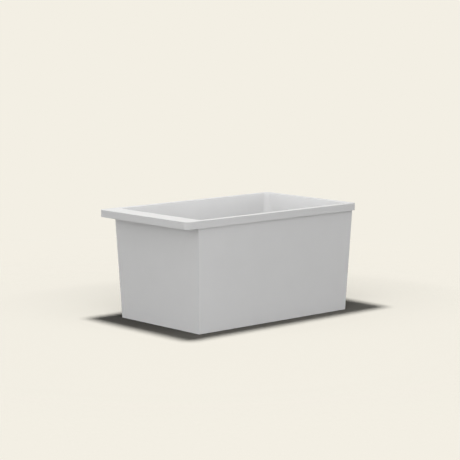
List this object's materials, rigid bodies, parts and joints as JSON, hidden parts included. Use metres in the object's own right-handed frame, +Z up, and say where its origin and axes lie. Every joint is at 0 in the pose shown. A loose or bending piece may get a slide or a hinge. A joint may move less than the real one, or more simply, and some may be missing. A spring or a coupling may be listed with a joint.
{
  "type": "freestanding bathtub",
  "caption": "Rectangular white freestanding bathtub with flat overhanging rim, wide end deck, tapering skirt panels, knob-worked pop-up waste and levelling feet.",
  "frame": {"origin": "centre of the overall footprint on the floor, under the feet", "axes": "+X along the tub, away from the wide deck; +Y to the back; +Z up"},
  "size_m": [1.2, 0.7, 0.58],
  "materials": {
    "white_acrylic": "satin white acrylic sheet",
    "white_panel": "matt white acrylic-capped panel",
    "white_sealant": "cured white adhesive",
    "softwood": "planed pine",
    "plywood": "sanded plywood",
    "primed_board": "plywood primed white against damp",
    "aluminium_angle": "mill finish",
    "galvanised_steel": "galvanised",
    "zinc_steel": "bright zinc plated",
    "black_plastic": "moulded black plastic",
    "black_rubber": "moulded rubber",
    "grey_polypropylene": "moulded polypropylene",
    "hose_pvc": "flexible grey plastic",
    "chrome": "polished chrome",
    "brass": "turned brass"
  },
  "bodies": {
    "tub": {"back_batten": "softwood", "back_left_angle": "aluminium_angle", "back_panel": "white_panel", "back_rail": "galvanised_steel", "back_right_angle": "aluminium_angle", "base_board": "plywood", "bath_shell": "white_acrylic", "board_screws": "zinc_steel", "cable_clips": "black_plastic", "control_cable": "hose_pvc", "deck_board": "primed_board", "flange_gasket": "black_rubber", "front_batten": "softwood", "front_left_angle": "aluminium_angle", "front_panel": "white_panel", "front_rail": "galvanised_steel", "front_right_angle": "aluminium_angle", "hose_nuts": "black_plastic", "left_batten": "softwood", "left_cross_rail": "galvanised_steel", "left_panel": "white_panel", "lever_pin": "brass", "overflow_body": "grey_polypropylene", "overflow_gasket": "black_rubber", "overflow_hose": "hose_pvc", "overflow_plate": "chrome", "panel_bead": "white_sealant", "panel_straps": "galvanised_steel", "plate_screws": "zinc_steel", "rail_end_caps": "black_plastic", "right_batten": "softwood", "right_cross_rail": "galvanised_steel", "right_panel": "white_panel", "rivet_nuts": "zinc_steel", "strap_screws": "zinc_steel", "tail_nut": "grey_polypropylene", "tail_pipe": "grey_polypropylene", "tail_washer": "black_rubber", "waste_body": "grey_polypropylene", "waste_flange": "chrome", "waste_gasket": "black_rubber"},
    "knob": {"overflow_knob": "chrome", "knob_spindle": "brass"},
    "plug": {"plug_cap": "chrome", "plug_seal": "black_rubber", "plug_stem": "brass"},
    "lever": {"lift_lever": "brass"},
    "foot_1": {"foot_1_pad": "black_plastic", "foot_1_stud": "zinc_steel", "foot_1_lock_nut": "zinc_steel"},
    "foot_2": {"foot_2_pad": "black_plastic", "foot_2_stud": "zinc_steel", "foot_2_lock_nut": "zinc_steel"},
    "foot_3": {"foot_3_pad": "black_plastic", "foot_3_stud": "zinc_steel", "foot_3_lock_nut": "zinc_steel"},
    "foot_4": {"foot_4_pad": "black_plastic", "foot_4_stud": "zinc_steel", "foot_4_lock_nut": "zinc_steel"}
  },
  "joints": [
    {"name": "knob_turn", "type": "hinge", "parent": "tub", "child": "knob", "pos_m": [-0.45743, 0, 0.455], "axis": [0.9638, 0, 0.2666], "range_deg": [0, 105]},
    {"name": "plug_lift", "type": "slide", "parent": "tub", "child": "plug", "axis": [0, 0, 1], "range_m": [0, 0.00882]},
    {"name": "lever_tilt", "type": "hinge", "parent": "tub", "child": "lever", "pos_m": [-0.224, 0, 0.066], "axis": [0, 1, 0], "range_deg": [0, 32]},
    {"name": "foot_1_screw", "type": "slide", "parent": "tub", "child": "foot_1", "axis": [0, 0, -1], "range_m": [0, 0.015]},
    {"name": "foot_2_screw", "type": "slide", "parent": "tub", "child": "foot_2", "axis": [0, 0, -1], "range_m": [0, 0.015]},
    {"name": "foot_3_screw", "type": "slide", "parent": "tub", "child": "foot_3", "axis": [0, 0, -1], "range_m": [0, 0.015]},
    {"name": "foot_4_screw", "type": "slide", "parent": "tub", "child": "foot_4", "axis": [0, 0, -1], "range_m": [0, 0.015]}
  ],
  "couplings": [
    {"joint": "plug_lift", "follows": "knob_turn", "m_per_rad": 0.0048128},
    {"joint": "lever_tilt", "follows": "knob_turn", "ratio": 0.30476}
  ]
}
